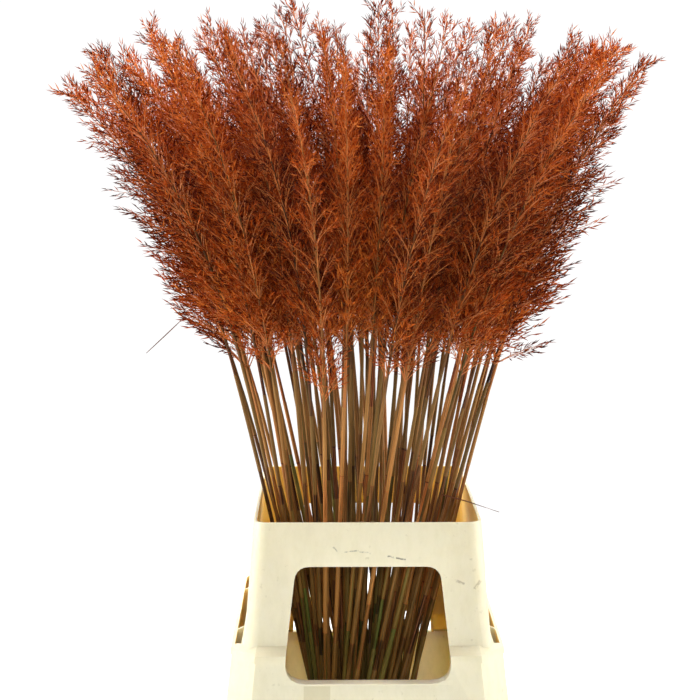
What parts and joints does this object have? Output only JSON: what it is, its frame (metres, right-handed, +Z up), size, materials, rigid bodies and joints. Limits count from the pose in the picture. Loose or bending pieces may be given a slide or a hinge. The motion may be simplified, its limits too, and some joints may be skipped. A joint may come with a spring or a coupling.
{
  "type": "korean feather reed grass in a flower bucket",
  "caption": "Cut stems of feather reed grass with dyed copper plumes, fanning out of a plastic flower bucket with an upright collar.",
  "frame": {"origin": "middle of the bucket's flat underside", "axes": "+Z up, -Y towards the front window, X across the short side of the bucket"},
  "size_m": [0.6468, 0.6879, 1.0105],
  "materials": {
    "bucket_plastic": "aged cream polypropylene, satin",
    "collar_plastic": "aged cream polypropylene, satin, scuffed",
    "water": "still water, slightly cloudy",
    "dyed_grass": "dried grass dyed copper, dull",
    "rubber_band": "natural latex"
  },
  "bodies": {
    "root": {"bucket": "bucket_plastic", "collar": "collar_plastic", "water": "water", "bunch_01": "dyed_grass", "bunch_02": "dyed_grass", "bunch_03": "dyed_grass", "bunch_04": "dyed_grass", "bunch_05": "dyed_grass", "bunch_06": "dyed_grass", "bunch_07": "dyed_grass", "bunch_08": "dyed_grass", "bunch_09": "dyed_grass", "bunch_10": "dyed_grass", "bunch_11": "dyed_grass", "bunch_12": "dyed_grass", "bunch_13": "dyed_grass", "bunch_14": "dyed_grass", "bunch_15": "dyed_grass", "bunch_16": "dyed_grass", "bunch_17": "dyed_grass", "bunch_18": "dyed_grass", "bunch_19": "dyed_grass", "bunch_20": "dyed_grass", "band_01": "rubber_band", "band_02": "rubber_band", "band_03": "rubber_band", "band_04": "rubber_band", "band_05": "rubber_band", "band_06": "rubber_band", "band_07": "rubber_band", "band_08": "rubber_band", "band_09": "rubber_band", "band_10": "rubber_band", "band_11": "rubber_band", "band_12": "rubber_band", "band_13": "rubber_band", "band_14": "rubber_band", "band_15": "rubber_band", "band_16": "rubber_band", "band_17": "rubber_band", "band_18": "rubber_band", "band_19": "rubber_band", "band_20": "rubber_band"}
  },
  "joints": []
}
